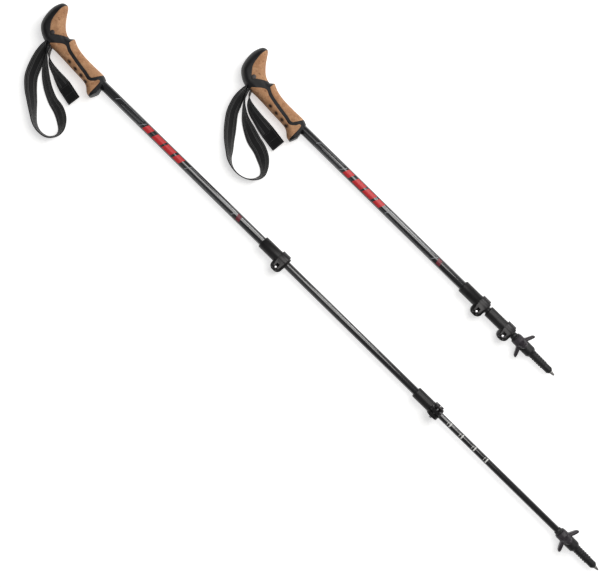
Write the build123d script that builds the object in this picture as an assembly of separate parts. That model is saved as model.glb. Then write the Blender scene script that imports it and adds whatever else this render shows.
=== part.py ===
"""A pair of three-section telescopic trekking poles with cork-faced horn grips.

One pole lies extended and the other lies collapsed beside it. Each pole is first made about its own
axis: +X runs from the grip's head to the tip, +Y is the side that the horn points to, and the pole's
axis is y = 0, z = 0. The pair is then put on the floor, z = 0, with its box centred on the origin.
"""

from build123d import *
from math import atan2, cos, degrees, hypot, radians, sin
import os

# ---- the pair -------------------------------------------------------------------------------
POLE_SPACING = 157.0  # between the two axes, along +Y
POLE_STAGGER = 252.0  # how far the collapsed pole's head lies towards the tips
RUN = 0.05  # radial clearance of a turning or sliding fit
SLACK = 0.3  # clearance between parts that move past each other

# ---- tubes ----------------------------------------------------------------------------------
UPPER_R = 7.0
TUBE_WALL = 0.7
MIDDLE_R = UPPER_R - TUBE_WALL - SLACK
LOWER_R = MIDDLE_R - TUBE_WALL - SLACK
UPPER_TUBE_TOP = 60.0  # where the upper tube begins, inside the grip
UPPER_TUBE_END = 481.5
CLAMP_SEAT = 27.0  # how far a clamp's sleeve covers its tube
MIDDLE_TUBE_LENGTH = 405.0
PLUG_GAP = 4.8  # between the two end plugs when collapsed
PLUG_HEAD = 10.0
PLUG_SPIGOT = 12.0

# ---- clamps ---------------------------------------------------------------------------------
CLAMP_LENGTH = 49.0
COLLAR_LENGTH = 19.5
UPPER_SLEEVE_WALL = 2.45
LOWER_SLEEVE_WALL = 2.6
COLLAR_WALL = 3.7
SLIT = 1.6
EAR_WIDTH = 18.5
EAR_REACH = 13.0  # from the inner tube's wall to the ear's outer edge
EAR_THICKNESS = 5.6
SCREW_OUT = 7.3  # the tension screw's axis, from the inner tube's wall
SCREW_R = 1.6
SCREW_HEAD_R = 2.9
SCREW_HEAD_H = 3.0
BARREL_R = 2.5
KNUCKLE_WALL = 1.4
FORK_GAP = 4.6
LEVER_WALL = 2.2
LEVER_WIDTH = 14.0
LEVER_NECK = 10.0  # the lever's width over the barrel nut
LEVER_END_ANGLE = -12.0  # where the closed lever's free end stops, round from +Y towards +Z
MIDDLE_GAP_AT_REST = 3.0  # between the two clamps of the collapsed pole
LOWER_CLAMP_TURN = -75.0  # how far the extended pole's lower sections are turned on the axis

# ---- tip ------------------------------------------------------------------------------------
TIP_NECK_R = 5.7
TIP_NECK_LENGTH = 5.0
TIP_SOCKET_DEPTH = 14.0
TIP_FLANGE_R = 8.2
TIP_FLANGE = 1.2
TIP_THREAD_R = 7.0
BASKET_HUB_LENGTH = 14.0
TIP_BOSS_R = 8.7
TIP_BOSS_LENGTH = 19.0
TIP_CONE_TOP_R = 6.0
TIP_CONE_END_R = 5.5
TIP_CONE_LENGTH = 34.5  # with its straight end, where a walking foot is pushed on
TIP_SEAT_LENGTH = 10.0
TIP_NOSE_LENGTH = 3.0
RIB_COUNT = 6
RIB_WIDTH = 1.6
RIB_HEIGHT = 0.4
CARBIDE_R = 2.6
CARBIDE_POINT_R = 1.2
CARBIDE_LENGTH = 7.0
CARBIDE_SEAT = 8.0
BASKET_R = 15.6
BASKET_WAVE = 4.7
BASKET_OVAL = 0.9  # how much longer the lobes across are than the lobes on the floor
BASKET_LOBES = 4
BASKET_WALL = 5.5
BASKET_HUB_R = 8.6
BASKET_SLOPE = 0.5  # how far the dish leans towards the tip, for each mm outwards
TIP_GAP = 0.8  # between the lower clamp and the tip when collapsed

# ---- travel of the sections, from fully collapsed ---------------------------------------------
MIDDLE_TRAVEL = 310.0
LOWER_TRAVEL = 300.0
LEFT_MIDDLE_OUT = 259.0
LEFT_LOWER_OUT = 236.0

# ---- grip -----------------------------------------------------------------------------------
# The outline seen from the side: the front runs from the horn's point to the base, the back returns.
GRIP_FRONT = [(16, 44.5), (24.7, 31.9), (33.4, 21.8), (42, 15.8), (49.3, 14.2)]
GRIP_HANDLE_FRONT = [(55, 18.9), (65, 14.3), (80, 11.2), (100, 10.4), (121, 10.6), (129, 8)]
GRIP_BASE = [(133.4, -14.5), (129, -26.5)]
GRIP_BACK = [(121.8, -24.7), (114.6, -18.9), (105.9, -16), (80, -14.6), (50.8, -13.2), (32, -13.5)]
GRIP_CAP = [(21.8, -12), (11.6, -6.3), (4, 2), (0.4, 15), (0.4, 30), (5, 42.5), (11, 46.2)]
# Half of the grip's thickness along its length.
GRIP_HALF = [(0, 14), (6, 18.4), (20, 19), (45, 15.5), (75, 15.5), (100, 14.4), (122, 15.6), (134, 15)]
BASE_PLATE = 4.2
CORE_R = 8.6
STRIPE = [(55, 5), (65, 1.5), (87, -2.9), (101.5, -5.1), (111.7, -7), (117.5, -2.9), (123.5, 9)]
STRIPE_HALF = 2.5

# ---- strap ----------------------------------------------------------------------------------
WEB_WIDTH = 22.0
WEB_THICKNESS = 1.6
PIN_X, PIN_Y = 28.0, 3.5
PIN_R = 2.5
PIN_HEAD_R = 3.4
PIN_HEAD_H = 0.8
SLOT_HALF = WEB_WIDTH / 2 + 0.6
TAB_THICKNESS = 3.4
TAB_LENGTH = 26.0


UPPER_CLAMP_START = UPPER_TUBE_END - CLAMP_SEAT
LOWER_CLAMP_START = UPPER_CLAMP_START + CLAMP_LENGTH + MIDDLE_GAP_AT_REST
MIDDLE_TUBE_END = LOWER_CLAMP_START + CLAMP_SEAT
TIP_START = LOWER_CLAMP_START + CLAMP_LENGTH + TIP_GAP
LOWER_TUBE_END = TIP_START + TIP_SOCKET_DEPTH
GRIP_END = max(x for x, y in GRIP_BASE)


def polar(r, angle):
    """The (y, z) point at a radius and an angle from +Y towards +Z, in degrees."""
    return r * cos(radians(angle)), r * sin(radians(angle))


BASKET_STEPS = 18 * BASKET_LOBES
BASKET_RIM = []
for i in range(BASKET_STEPS):
    angle = 360 * i / BASKET_STEPS
    wave = BASKET_WAVE * cos(radians(BASKET_LOBES * angle)) + BASKET_OVAL * cos(radians(2 * angle))
    BASKET_RIM.append(polar(BASKET_R + wave, angle))
AXIS_HEIGHT = max(z for y, z in BASKET_RIM)  # the poles lie on their baskets and on their grips

# The wrist straps' routes: x, y, the webbing's tilt from flat in degrees, and its lift, which is 1
# at the height of the pole's axis and 0 where the lower edge lies on the floor. The loops run
# from the pin's far side, out along the limb nearest the handle, and back along the other limb.
LEFT_LOOP = [
    (32.5, -8, 90, 1), (36, -18, 86, 1), (46.5, -34, 66, 0.7), (58, -46.5, 54, 0.4), (74, -58.5, 50, 0.15),
    (91.4, -67, 54, 0), (107.3, -71, 49, 0), (120.4, -78, 52, 0), (130.5, -88.9, 66, 0),
    (131.5, -100.5, 78, 0), (123.3, -110.3, 86, 0), (110.2, -113, 88, 0), (97.2, -109.5, 85, 0),
    (84.1, -99.8, 74, 0), (71.1, -88.9, 60, 0), (56.6, -77, 48, 0), (45, -64, 40, 0.05),
    (37.7, -49, 44, 0.3), (32.5, -34, 60, 0.7), (29.5, -19, 88, 1), (28, -9, 90, 1),
]
LEFT_TAIL = [
    (37, -11, 90, 1), (41.5, -21, 90, 1), (53, -30.5, 72, 0.9), (68.2, -35.2, 58, 0.75),
    (80, -38, 40, 0.6), (90, -40.2, 24, 0.45),
]
RIGHT_LOOP = [
    (32.5, -8, 90, 1), (35, -18, 90, 1), (40, -29, 84, 0.8), (48, -38, 76, 0.5), (60, -47.5, 60, 0.2),
    (76.6, -55.4, 44, 0), (89.6, -60.5, 38, 0), (104.1, -64, 42, 0), (117.2, -70, 46, 0),
    (128.8, -79, 56, 0), (134.3, -89, 70, 0), (130.9, -99.6, 80, 0), (121.5, -107.8, 86, 0),
    (108.5, -111.7, 88, 0), (95, -110.5, 86, 0), (83.1, -104.7, 76, 0), (73.7, -95.3, 62, 0),
    (64.2, -85.8, 50, 0), (55.5, -75.7, 40, 0), (46.8, -64.8, 38, 0.05), (38.9, -53.2, 42, 0.2),
    (32.6, -40.5, 56, 0.55), (29.5, -30, 70, 0.8), (28.5, -19, 88, 1), (28, -9, 90, 1),
]
RIGHT_TAIL = [
    (37, -11, 90, 1), (41, -20, 90, 1), (49, -27.5, 70, 0.9), (60, -32, 54, 0.75),
    (75, -35, 42, 0.6), (86, -36.8, 28, 0.5), (96, -38.2, 16, 0.4),
]


def turned(*profile):
    """A solid turned about X from (x, radius) points."""
    return revolve(make_face(Polyline(*profile, close=True)), Axis.X)


def ring(x0, x1, outer, inner):
    """A straight tube about X."""
    return turned((x0, inner), (x1, inner), (x1, outer), (x0, outer))


def block(x0, x1, y0, y1, z0, z1):
    """A box between two corners."""
    return Pos((x0 + x1) / 2, (y0 + y1) / 2, (z0 + z1) / 2) * Box(x1 - x0, y1 - y0, z1 - z0)


def slab(points, half):
    """A prism along Z over a closed outline of (x, y) points, half its height each way."""
    return extrude(make_face(Polyline(*points, close=True)), half, both=True)


def rod_z(x, y, z0, z1, r):
    """A round rod along Z."""
    return Pos(x, y, (z0 + z1) / 2) * Cylinder(r, z1 - z0)


def rod_x(x0, x1, y, z, r):
    """A round rod along X."""
    return Pos((x0 + x1) / 2, y, z) * Rot(0, 90, 0) * Cylinder(r, x1 - x0)


def prism_x(points, x0, x1):
    """A prism along X over a closed outline of (y, z) points."""
    outline = [(x0, y, z) for y, z in points]
    return extrude(make_face(Polyline(*outline, close=True)), x1 - x0, dir=(1, 0, 0))


# ---- clamps -----------------------------------------------------------------------------------
EAR_TOP = SLIT / 2 + EAR_THICKNESS
KNUCKLE_R = BARREL_R + RUN + KNUCKLE_WALL
BARREL_Z = EAR_TOP + SLACK + KNUCKLE_R
CLAMP_MIDDLE = CLAMP_LENGTH - COLLAR_LENGTH / 2


def clamp(outer_r, inner_r, wall):
    """A lever clamp about X, from x = 0, on the end of a tube and round the tube inside it.

    The ears point to -Y, the slit is at z = 0, and the tension screw stands along Z.
    """
    collar_r = inner_r + COLLAR_WALL
    collar_x = CLAMP_LENGTH - COLLAR_LENGTH
    screw_y = -(inner_r + SCREW_OUT)
    body = turned(
        (0, outer_r), (CLAMP_SEAT, outer_r), (CLAMP_SEAT, inner_r + RUN), (CLAMP_LENGTH, inner_r + RUN),
        (CLAMP_LENGTH, collar_r - 1), (CLAMP_LENGTH - 1, collar_r), (collar_x, collar_r),
        (collar_x, outer_r + wall), (1, outer_r + wall), (0, outer_r + wall - 1),
    )
    low, high = CLAMP_MIDDLE - EAR_WIDTH / 2, CLAMP_MIDDLE + EAR_WIDTH / 2
    ears = block(low, high, -(inner_r + EAR_REACH), -inner_r, -EAR_TOP, EAR_TOP)
    corners = ears.edges().filter_by(Axis.Z).sort_by(Axis.Y)[:2]
    ears = fillet(corners, EAR_WIDTH * 0.4)
    body = body + (ears - rod_x(-1, CLAMP_LENGTH + 1, 0, 0, inner_r + 1))
    body -= block(collar_x + 1, CLAMP_LENGTH + 1, -(inner_r + EAR_REACH) - 1, -inner_r / 2, -SLIT / 2, SLIT / 2)
    body -= rod_z(CLAMP_MIDDLE, screw_y, -EAR_TOP - 1, EAR_TOP + 1, SCREW_R + RUN)

    head_z = -EAR_TOP
    screw = rod_z(CLAMP_MIDDLE, screw_y, head_z, BARREL_Z + BARREL_R + 0.4, SCREW_R)
    screw += rod_z(CLAMP_MIDDLE, screw_y, head_z - SCREW_HEAD_H, head_z, SCREW_HEAD_R)
    socket = extrude(Pos(CLAMP_MIDDLE, screw_y, head_z - SCREW_HEAD_H) * RegularPolygon(1.4, 6), 1.8)
    screw -= socket

    neck = (CLAMP_MIDDLE - LEVER_NECK / 2, CLAMP_MIDDLE + LEVER_NECK / 2)
    barrel = rod_x(*neck, screw_y, BARREL_Z, BARREL_R)
    barrel -= rod_z(CLAMP_MIDDLE, screw_y, 0, BARREL_Z + 2 * BARREL_R, SCREW_R + RUN)

    inside = collar_r + SLACK
    outside = inside + LEVER_WALL
    edges = (CLAMP_MIDDLE - LEVER_WIDTH / 2, CLAMP_MIDDLE + LEVER_WIDTH / 2)
    reach = degrees(atan2(BARREL_Z, screw_y)) - 14
    wedge = [(0, 0)] + [polar(3 * outside, a) for a in (LEVER_END_ANGLE, 30, 75, reach)]
    lever = ring(*edges, outside, inside) & prism_x(wedge, *edges)
    top = (screw_y, BARREL_Z + KNUCKLE_R)
    bridge = [polar(outside, 95), polar(outside - 0.2, 80), polar(inside + 0.3, 90)]
    bridge += [polar(inside + 0.3, reach), (screw_y, BARREL_Z - 1.5), top]
    lever += prism_x(bridge, *edges)
    lever += rod_x(*edges, screw_y, BARREL_Z, KNUCKLE_R)
    gap = (CLAMP_MIDDLE - FORK_GAP / 2, CLAMP_MIDDLE + FORK_GAP / 2)
    lever -= block(*gap, screw_y - 2 * KNUCKLE_R, screw_y + 1.6 * KNUCKLE_R, 0, 3 * outside)
    lever -= rod_x(*edges, screw_y, BARREL_Z, BARREL_R + RUN)
    far = 3 * outside
    lever = lever & slab([(edges[0], far), (edges[0], 0), (neck[0], screw_y), (neck[0], -far),
                          (neck[1], -far), (neck[1], screw_y), (edges[1], 0), (edges[1], far)], far)
    return {"clamp": body, "lever": lever, "barrel_nut": barrel, "tension_screw": screw}


# ---- tubes and their plugs ----------------------------------------------------------------------
def plug(start, outer_bore, inner_bore):
    """The end plug of a telescoping section, whose tube begins at start."""
    head, spigot = outer_bore - RUN, inner_bore - RUN
    face = start - RUN
    return turned(
        (face - PLUG_HEAD, 0), (face - PLUG_HEAD, head - 1), (face - PLUG_HEAD + 1, head), (face, head),
        (face, spigot), (face + PLUG_SPIGOT, spigot), (face + PLUG_SPIGOT, 0),
    )


# ---- tip ------------------------------------------------------------------------------------
def tip():
    """The tip body, basket and carbide point, from x = 0."""
    thread_end = TIP_NECK_LENGTH + TIP_FLANGE + BASKET_HUB_LENGTH + 2 * SLACK
    boss_end = TIP_NECK_LENGTH + TIP_FLANGE + BASKET_HUB_LENGTH + TIP_BOSS_LENGTH
    cone_end = boss_end + TIP_CONE_LENGTH
    nose = cone_end + TIP_NOSE_LENGTH
    flange = TIP_NECK_LENGTH + TIP_FLANGE
    body = turned(
        (0, LOWER_R), (0, TIP_NECK_R - 0.4), (0.4, TIP_NECK_R), (TIP_NECK_LENGTH - 1.5, TIP_NECK_R + 0.4),
        (TIP_NECK_LENGTH, TIP_FLANGE_R), (flange, TIP_FLANGE_R), (flange, TIP_THREAD_R),
        (thread_end, TIP_THREAD_R), (thread_end, TIP_BOSS_R - 1), (thread_end + 1, TIP_BOSS_R),
        (boss_end - 4, TIP_BOSS_R), (boss_end, TIP_CONE_TOP_R),
        (cone_end - TIP_SEAT_LENGTH, TIP_CONE_END_R), (cone_end, TIP_CONE_END_R),
        (nose, CARBIDE_R + 0.6), (nose, CARBIDE_R), (nose - CARBIDE_SEAT, CARBIDE_R),
        (nose - CARBIDE_SEAT, 0), (TIP_SOCKET_DEPTH, 0), (TIP_SOCKET_DEPTH, LOWER_R),
    )
    step = (TIP_CONE_LENGTH - TIP_SEAT_LENGTH) / RIB_COUNT
    for i in range(RIB_COUNT):
        x = boss_end + (i + 0.5) * step
        body += ring(x - RIB_WIDTH / 2, x + RIB_WIDTH / 2, TIP_CONE_TOP_R + RIB_HEIGHT, CARBIDE_R + 1)
    point = turned(
        (nose - CARBIDE_SEAT, 0), (nose - CARBIDE_SEAT, CARBIDE_R), (nose + 1, CARBIDE_R),
        (nose + CARBIDE_LENGTH, CARBIDE_POINT_R), (nose + CARBIDE_LENGTH - 0.8, 0),
    )
    hub0 = flange + SLACK
    hub1 = hub0 + BASKET_HUB_LENGTH
    rim = BASKET_R + 2 * BASKET_WAVE
    lean = BASKET_SLOPE * (rim - BASKET_HUB_R)
    dish = turned(
        (hub0, TIP_THREAD_R + RUN), (hub1, TIP_THREAD_R + RUN), (hub1, BASKET_HUB_R),
        (hub1 + lean, rim), (hub1 + lean - BASKET_WALL, rim), (hub1 - BASKET_WALL * 1.1, BASKET_HUB_R + 0.6),
        (hub0 + 1, BASKET_HUB_R), (hub0, BASKET_HUB_R - 1),
    )
    basket = dish & prism_x(BASKET_RIM, 0, hub1 + 2 * lean)
    return {"tip_body": body, "basket": basket, "carbide_tip": point}


# ---- grip -------------------------------------------------------------------------------------
def half_at(x):
    """Half of the grip's thickness at a place along it."""
    for (x0, h0), (x1, h1) in zip(GRIP_HALF, GRIP_HALF[1:]):
        if x0 <= x <= x1:
            return h0 + (h1 - h0) * (x - x0) / (x1 - x0)
    return GRIP_HALF[-1][1]


def offset_line(points, away):
    """A line beside an open line of (x, y) points, that far above it."""
    moved = []
    for i, (x, y) in enumerate(points):
        x0, y0 = points[max(i - 1, 0)]
        x1, y1 = points[min(i + 1, len(points) - 1)]
        run = hypot(x1 - x0, y1 - y0)
        moved.append((x - away * (y1 - y0) / run, y + away * (x1 - x0) / run))
    return moved


def grip():
    """The grip's pieces: cap, two cork pads on the handle, one on the horn, core and base plate."""
    outline = GRIP_FRONT + GRIP_HANDLE_FRONT + GRIP_BASE + GRIP_BACK + GRIP_CAP
    reach = 60.0
    whole = slab(outline, max(h for x, h in GRIP_HALF) + 1)
    above = [(x, h) for x, h in GRIP_HALF]
    below = [(x, -h) for x, h in reversed(GRIP_HALF)]
    side = make_face(Polyline(*[(x, -reach, z) for x, z in above + below], close=True))
    whole = whole & extrude(side, 2 * reach, dir=(0, 1, 0))
    pin_half = half_at(PIN_X)
    fan = [(PIN_X - 5, PIN_Y + 5), (PIN_X + 5, PIN_Y + 5), (PIN_X + 5.5, PIN_Y), (47, -24), (18, -24)]
    fan += [(PIN_X - 5.5, PIN_Y)]
    whole -= slab(fan, SLOT_HALF)
    whole -= rod_z(PIN_X, PIN_Y, -reach, reach, PIN_R)
    for z in (-pin_half, pin_half):
        whole -= rod_z(PIN_X, PIN_Y, z - PIN_HEAD_H, z + PIN_HEAD_H, PIN_HEAD_R)
    whole -= ring(UPPER_TUBE_TOP, GRIP_END + 1, UPPER_R, 0)

    cap_edge = [(15, reach), (12, 32), (15.5, 15), (21.5, 6), (27, 0.5)]
    neck_top = [(27, 0.5), (49.5, 16), (49.5, reach)]
    neck_low = [(36, -9.5), (52.5, 4.5), (55, 6), (55, reach)]
    above_stripe = offset_line(STRIPE, STRIPE_HALF)
    below_stripe = offset_line(STRIPE, -STRIPE_HALF)
    plate_x = GRIP_END - BASE_PLATE
    core_bar = ring(34, plate_x, CORE_R, 0)

    head_zone = slab(cap_edge + neck_top[1:], reach)
    cap_zone = slab([(-5, reach)] + cap_edge + [(30, -7), (26, -reach), (-5, -reach)], reach)
    front_zone = slab([(55.2, reach), (55.2, above_stripe[0][1])] + above_stripe[1:-1]
                      + [(121.5, 9), (121.5, reach)], reach)
    finger_zone = slab([(35.5, -9.5), (52, 3.2)] + below_stripe[1:-1]
                       + [(122.5, 1.5), (plate_x - 2.5, -2), (plate_x - 2.5, -reach), (35.5, -reach)], reach)
    plate_zone = block(plate_x - 2.5, GRIP_END + 1, -reach, -9, -reach, reach)

    pieces = {
        "grip_head_cork": whole & head_zone,
        "grip_cap": whole & (cap_zone - head_zone),
        "grip_front_cork": (whole & front_zone) - core_bar,
        "grip_finger_cork": (whole & finger_zone) - core_bar,
        "grip_base_plate": (whole & plate_zone) - core_bar,
    }
    core = whole - head_zone - cap_zone - (front_zone - core_bar) - (finger_zone - core_bar)
    pieces["grip_core"] = core - (plate_zone - core_bar)
    pin = rod_z(PIN_X, PIN_Y, -pin_half, pin_half, PIN_R)
    for z in (-pin_half, pin_half):
        pin += rod_z(PIN_X, PIN_Y, z - PIN_HEAD_H, z + PIN_HEAD_H, PIN_HEAD_R)
    pieces["strap_pin"] = pin
    return pieces


# ---- strap ------------------------------------------------------------------------------------
def webbing(route, side, thickness=WEB_THICKNESS):
    """A band along a route, whose raised edge leans to one side of its direction."""
    sections = []
    for i, (x, y, tilt, lift) in enumerate(route):
        x0, y0 = route[max(i - 1, 0)][:2]
        x1, y1 = route[min(i + 1, len(route) - 1)][:2]
        run = hypot(x1 - x0, y1 - y0)
        ahead = Vector((x1 - x0) / run, (y1 - y0) / run, 0)
        out = Vector(-ahead.Y, ahead.X, 0) * side
        lean = radians(tilt)
        across = out * cos(lean) + Vector(0, 0, 1) * sin(lean)
        through = ahead.cross(across) * (thickness / 2)
        lying = WEB_WIDTH / 2 * sin(lean) + thickness / 2 * cos(lean) + 0.1 - AXIS_HEIGHT
        middle = Vector(x, y, lying * (1 - lift))
        half = across * (WEB_WIDTH / 2)
        corners = [middle + half + through, middle + half - through]
        corners += [middle - half - through, middle - half + through]
        sections.append(Wire.make_polygon(corners, close=True))
    return Solid.make_loft(sections, ruled=True)


def strap(loop_route, tail_route):
    """The wrist loop with its eye round the pin, the adjusting tail and the tail's sewn tab."""
    eye_in = PIN_R + RUN
    eye_out = eye_in + WEB_THICKNESS
    near, far = PIN_X + eye_out - WEB_THICKNESS / 2, PIN_X - eye_out + WEB_THICKNESS / 2
    route = [(near, PIN_Y, 90, 1)] + loop_route + [(far, PIN_Y, 90, 1)]
    loop = webbing(route, 1) + rod_z(PIN_X, PIN_Y, -WEB_WIDTH / 2, WEB_WIDTH / 2, eye_out)
    loop -= rod_z(PIN_X, PIN_Y, -WEB_WIDTH, WEB_WIDTH, eye_in)
    tail = webbing(tail_route, 1)
    x0, y0 = tail_route[-2][:2]
    x1, y1, tilt, lift = tail_route[-1]
    run = hypot(x1 - x0, y1 - y0)
    ahead = ((x1 - x0) / run, (y1 - y0) / run)
    tab_route = []
    for along in (0, TAB_LENGTH):
        tab_route.append((x1 + ahead[0] * along, y1 + ahead[1] * along, tilt, lift))
    tab = webbing(tab_route, 1, TAB_THICKNESS)
    return {"strap_loop": loop, "strap_tail": tail, "strap_tail_tab": tab}


# ---- one pole -----------------------------------------------------------------------------------
def pole(middle_out, lower_out, turn, loop_route, tail_route):
    """Every piece of one pole, with its lower sections drawn out and turned on the axis."""
    pieces = grip()
    pieces.update(strap(loop_route, tail_route))
    pieces["upper_tube"] = ring(UPPER_TUBE_TOP, UPPER_TUBE_END, UPPER_R, UPPER_R - TUBE_WALL)
    for name, solid in clamp(UPPER_R, MIDDLE_R, UPPER_SLEEVE_WALL).items():
        pieces["upper_" + name] = Pos(UPPER_CLAMP_START, 0, 0) * solid
    middle_top = MIDDLE_TUBE_END - MIDDLE_TUBE_LENGTH
    middle = {"middle_plug": plug(middle_top, UPPER_R - TUBE_WALL, MIDDLE_R - TUBE_WALL)}
    middle["middle_tube"] = ring(middle_top, MIDDLE_TUBE_END, MIDDLE_R, MIDDLE_R - TUBE_WALL)
    for name, solid in clamp(MIDDLE_R, LOWER_R, LOWER_SLEEVE_WALL).items():
        middle["lower_" + name] = Pos(LOWER_CLAMP_START, 0, 0) * solid
    lower_top = middle_top + PLUG_SPIGOT + PLUG_GAP + PLUG_HEAD
    lower = {"lower_plug": plug(lower_top, MIDDLE_R - TUBE_WALL, LOWER_R - TUBE_WALL)}
    lower["lower_tube"] = ring(lower_top, LOWER_TUBE_END, LOWER_R, LOWER_R - TUBE_WALL)
    for name, solid in tip().items():
        lower[name] = Pos(TIP_START, 0, 0) * solid
    for name, solid in middle.items():
        pieces[name] = Pos(middle_out, 0, 0) * Rot(turn, 0, 0) * solid
    for name, solid in lower.items():
        pieces[name] = Pos(middle_out + lower_out, 0, 0) * solid
    return pieces


LEFT = pole(LEFT_MIDDLE_OUT, LEFT_LOWER_OUT, LOWER_CLAMP_TURN, LEFT_LOOP, LEFT_TAIL)
RIGHT = pole(0, 0, 0, RIGHT_LOOP, RIGHT_TAIL)
PAIR = {"left_" + name: solid for name, solid in LEFT.items()}
for name, solid in RIGHT.items():
    PAIR["right_" + name] = Pos(POLE_STAGGER, POLE_SPACING, 0) * solid

BOX = Compound([s for piece in PAIR.values() for s in piece.solids()]).bounding_box()
FLOOR_SHIFT = Vector(-BOX.center().X, -BOX.center().Y, -BOX.min.Z)

os.makedirs("parts", exist_ok=True)
for name, solid in PAIR.items():
    export_step(Pos(FLOOR_SHIFT) * solid, f"parts/{name}.step")
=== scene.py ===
"""The visible trekking poles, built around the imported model.

Every piece is made in millimetres in its own pole's frame: +X runs from the grip's head to the tip,
+Y is the side that the horn points to, and the pole's axis is y = 0, z = 0. put() moves it into the
row's frame, in metres.
"""

import bmesh
import bpy
import math
import numpy as np
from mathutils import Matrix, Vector
from mathutils.geometry import delaunay_2d_cdt


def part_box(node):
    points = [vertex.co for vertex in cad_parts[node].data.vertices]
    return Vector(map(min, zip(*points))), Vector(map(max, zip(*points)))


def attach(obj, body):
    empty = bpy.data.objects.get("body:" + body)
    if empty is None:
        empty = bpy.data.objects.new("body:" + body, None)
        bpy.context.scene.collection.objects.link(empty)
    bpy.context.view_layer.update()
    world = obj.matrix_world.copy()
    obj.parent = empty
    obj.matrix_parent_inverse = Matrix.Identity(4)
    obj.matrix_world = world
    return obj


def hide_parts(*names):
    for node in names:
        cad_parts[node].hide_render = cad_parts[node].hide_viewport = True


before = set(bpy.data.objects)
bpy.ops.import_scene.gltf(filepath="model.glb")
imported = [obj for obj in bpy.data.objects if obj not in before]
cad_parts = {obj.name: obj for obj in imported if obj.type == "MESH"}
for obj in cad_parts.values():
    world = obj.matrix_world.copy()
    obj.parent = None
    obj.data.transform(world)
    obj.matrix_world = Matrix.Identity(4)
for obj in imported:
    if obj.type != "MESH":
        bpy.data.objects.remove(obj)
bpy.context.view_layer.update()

bl_info = {
    "name": "Trekking Poles",
    "version": (1, 0, 0),
    "blender": (4, 5, 0),
    "location": "View3D > Sidebar > Trekking Poles",
    "description": "Builds a pair of telescopic trekking poles with cork grips and wrist straps",
    "category": "Object",
}

MM = 0.001
SIDES = ("left", "right")
UPPER_TUBE_TOP = 60.0  # where the upper tube begins, from the head's end


def pole_origin(side):
    """Where a pole's own frame has its origin, in the row's frame."""
    low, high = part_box(side + "_upper_tube")
    return Vector((low[0] - UPPER_TUBE_TOP * MM, (low[1] + high[1]) / 2, (low[2] + high[2]) / 2))


ORIGIN = {side: pole_origin(side) for side in SIDES}


def local(side, node):
    """A CAD node's lowest and highest corner in its pole's frame, in millimetres."""
    low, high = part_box(side + "_" + node)
    return (Vector(low) - ORIGIN[side]) / MM, (Vector(high) - ORIGIN[side]) / MM


# ---- making meshes ----------------------------------------------------------------------------
def put(name, side, points, faces, body, slot, material, replaced=(), uv=None, sharp=35.0):
    """Makes a smooth-shaded piece from points in a pole's frame and hangs it on its body."""
    if min(map(min, faces)) < 0 or max(map(max, faces)) >= len(points):
        raise ValueError(f"{side} {name}: a face names a point that isn't there")
    mesh = bpy.data.meshes.new(name)
    origin = ORIGIN[side]
    mesh.from_pydata([tuple(origin + Vector(p) * MM) for p in points], [], faces)
    if uv is not None:
        layer = mesh.uv_layers.new(name="along")
        for loop in mesh.loops:
            layer.data[loop.index].uv = uv[loop.vertex_index]
    mesh.materials.append(material)
    return finish_piece(name, side, mesh, body, replaced, sharp)


def finish_piece(name, side, mesh, body, replaced, sharp):
    """Turns a mesh's faces outwards, shades it, makes it an object, hangs it on its body and hides the CAD nodes
    that it replaces.
    """
    work = bmesh.new()
    work.from_mesh(mesh)
    if work.calc_volume(signed=True) < 0:
        mesh.flip_normals()
    work.free()
    mesh.polygons.foreach_set("use_smooth", [True] * len(mesh.polygons))
    mesh.set_sharp_from_angle(angle=math.radians(sharp))
    piece = bpy.data.objects.new(f"{side}_{name}_shown", mesh)
    bpy.context.scene.collection.objects.link(piece)
    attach(piece, f"{side}_{body}")
    if replaced:
        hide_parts(*[f"{side}_{node}" for node in replaced])
    return piece


def lathe(profile, steps=72):
    """Points and faces of a closed profile of (x, radius) turned about the pole's axis."""
    points, rings, faces = [], [], []
    for x, r in profile:
        first = len(points)
        if r < 1e-6:
            rings.append([first] * steps)
            points.append((x, 0, 0))
            continue
        rings.append(list(range(first, first + steps)))
        for angle in np.arange(steps) * 2 * math.pi / steps:
            points.append((x, r * math.cos(angle), r * math.sin(angle)))
    for ring, after in zip(rings, rings[1:] + rings[:1]):
        if ring[0] == ring[1] and after[0] == after[1]:
            continue  # both ends lie on the axis
        for i in range(steps):
            k = (i + 1) % steps
            faces.append(tuple(dict.fromkeys((ring[i], after[i], after[k], ring[k]))))
    return points, faces


def rounded(profile, radius=0.3, steps=3):
    """The same closed profile with each corner rounded."""
    out = []
    for i, (x, y) in enumerate(profile):
        here = Vector((x, y))
        back = Vector(profile[i - 1]) - here
        ahead = Vector(profile[(i + 1) % len(profile)]) - here
        cut = min(radius, back.length * 0.45, ahead.length * 0.45)
        if y < 1e-6 or cut < 1e-4 or abs(back.angle(ahead) - math.pi) < 0.12:
            out.append((x, y))
            continue
        start, end = here + back.normalized() * cut, here + ahead.normalized() * cut
        for k in range(steps + 1):
            t = k / steps
            p = start * (1 - t) ** 2 + here * 2 * t * (1 - t) + end * t ** 2
            out.append((p.x, max(p.y, 0)))
    return out


def smooth_line(points, step):
    """Points every step or so along a Catmull-Rom curve through the given points, ends included."""
    p = np.array(points, float)
    p = np.vstack([2 * p[0] - p[1], p, 2 * p[-1] - p[-2]])
    out = []
    for i in range(1, len(p) - 2):
        a, b, c, d = p[i - 1], p[i], p[i + 1], p[i + 2]
        n = max(1, int(math.ceil(np.linalg.norm((c - b)[:2]) / step)))
        for t in np.arange(n) / n:
            out.append(0.5 * (2 * b + (c - a) * t + (2 * a - 5 * b + 4 * c - d) * t ** 2
                              + (3 * b - a - 3 * c + d) * t ** 3))
    out.append(p[-2])
    return np.array(out)


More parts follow.
